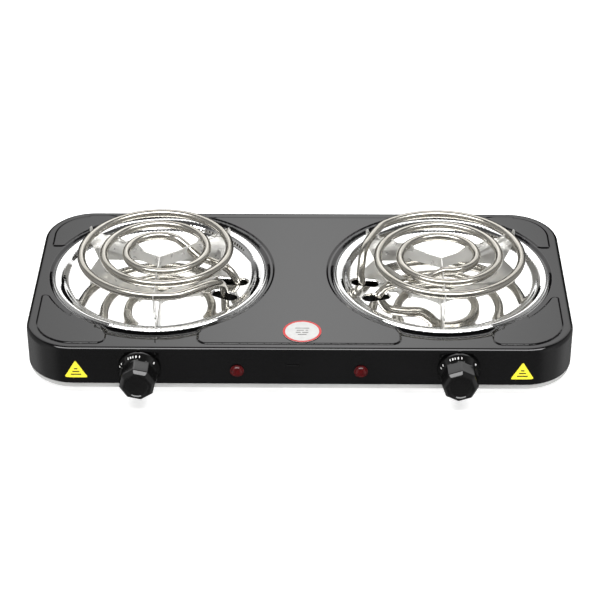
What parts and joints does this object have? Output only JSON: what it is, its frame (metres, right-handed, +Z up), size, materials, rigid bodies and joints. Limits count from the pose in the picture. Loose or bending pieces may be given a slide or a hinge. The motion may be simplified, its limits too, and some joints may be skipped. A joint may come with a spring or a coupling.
{
  "type": "hot plate burner",
  "caption": "Free-standing electric hot plate with spiral heating coils over chromed drip pans, a pressed black housing, turning knobs and indicator lamps.",
  "frame": {"origin": "centre of the whole footprint, knobs and rear bush included, on the surface that the feet stand on", "axes": "+X to the right of someone facing the knobs, along the width; +Y from the knobs to the rear; +Z up"},
  "size_m": [0.465, 0.258, 0.0717],
  "materials": {
    "enamel": "black gloss stoving enamel on pressed steel",
    "tray_steel": "plain silver sheet, lightly brushed",
    "pan_chrome": "bright chrome, mirror-like, faint spinning marks",
    "coil_sheath": "satin stainless tube, slightly warm",
    "support_steel": "stamped stainless sheet, satin",
    "knob_plastic": "black phenolic moulding, half gloss",
    "lens_red": "dark red translucent polycarbonate, gloss",
    "lamp_plastic": "cream moulded plastic",
    "ceramic": "unglazed white steatite",
    "terminal_phenolic": "black phenolic moulding, matt",
    "zinc_steel": "zinc plated steel",
    "brass": "plain brass",
    "label_yellow": "yellow printed foil with plain wavy strokes",
    "label_white": "white printed disc with a red ring, no lettering",
    "mark_black": "black inlay",
    "wire_sleeve": "braided glass-fibre sleeve",
    "foot_rubber": "black rubber",
    "gland_rubber": "black rubber bush"
  },
  "bodies": {
    "hot_plate": {"base_plate": "tray_steel", "base_screw_front_left": "zinc_steel", "base_screw_front_right": "zinc_steel", "base_screw_rear_left": "zinc_steel", "base_screw_rear_right": "zinc_steel", "coil_support_left": "support_steel", "coil_support_right": "support_steel", "coil_wire_left": "wire_sleeve", "coil_wire_right": "wire_sleeve", "cord_gland": "gland_rubber", "drip_pan_left": "pan_chrome", "drip_pan_right": "pan_chrome", "earth_screw": "brass", "foot_front_left": "foot_rubber", "foot_front_right": "foot_rubber", "foot_rear_left": "foot_rubber", "foot_rear_right": "foot_rubber", "front_mark": "mark_black", "heating_coil_left": "coil_sheath", "heating_coil_right": "coil_sheath", "index_pip_left": "knob_plastic", "index_pip_right": "knob_plastic", "lamp_body_left": "lamp_plastic", "lamp_body_right": "lamp_plastic", "lamp_lens_left": "lens_red", "lamp_lens_right": "lens_red", "lamp_wire_left": "wire_sleeve", "lamp_wire_right": "wire_sleeve", "plate_sticker": "label_white", "return_wire_left": "wire_sleeve", "return_wire_right": "wire_sleeve", "supply_terminal_block": "lamp_plastic", "supply_wire_left": "wire_sleeve", "supply_wire_right": "wire_sleeve", "surface_label_left": "label_yellow", "surface_label_right": "label_yellow", "terminal_block_left": "terminal_phenolic", "terminal_block_right": "terminal_phenolic", "thermostat_left": "ceramic", "thermostat_right": "ceramic", "thermostat_screw_a_left": "zinc_steel", "thermostat_screw_a_right": "zinc_steel", "thermostat_screw_b_left": "zinc_steel", "thermostat_screw_b_right": "zinc_steel", "top_housing": "enamel"},
    "knob_left_turning": {"knob_left": "knob_plastic", "thermostat_shaft_left": "zinc_steel"},
    "knob_right_turning": {"knob_right": "knob_plastic", "thermostat_shaft_right": "zinc_steel"},
    "contact_arm_left_lifting": {"contact_arm_left": "brass"},
    "contact_arm_right_lifting": {"contact_arm_right": "brass"}
  },
  "joints": [
    {"name": "knob_left_turn", "type": "hinge", "parent": "hot_plate", "child": "knob_left_turning", "pos_m": [-0.134, -0.102, 0.0275], "axis": [0, 1, 0], "range_deg": [0, 270]},
    {"name": "contact_arm_left_lift", "type": "hinge", "parent": "hot_plate", "child": "contact_arm_left_lifting", "pos_m": [-0.134, -0.0795, 0.0213], "axis": [-1, 0, 0], "range_deg": [0, 5.1]},
    {"name": "knob_right_turn", "type": "hinge", "parent": "hot_plate", "child": "knob_right_turning", "pos_m": [0.134, -0.102, 0.0275], "axis": [0, 1, 0], "range_deg": [0, 270]},
    {"name": "contact_arm_right_lift", "type": "hinge", "parent": "hot_plate", "child": "contact_arm_right_lifting", "pos_m": [0.134, -0.0795, 0.0213], "axis": [-1, 0, 0], "range_deg": [0, 5.1]}
  ],
  "couplings": [
    {"joint": "contact_arm_left_lift", "follows": "knob_left_turn", "ratio": 0.0185},
    {"joint": "contact_arm_right_lift", "follows": "knob_right_turn", "ratio": 0.0185}
  ]
}
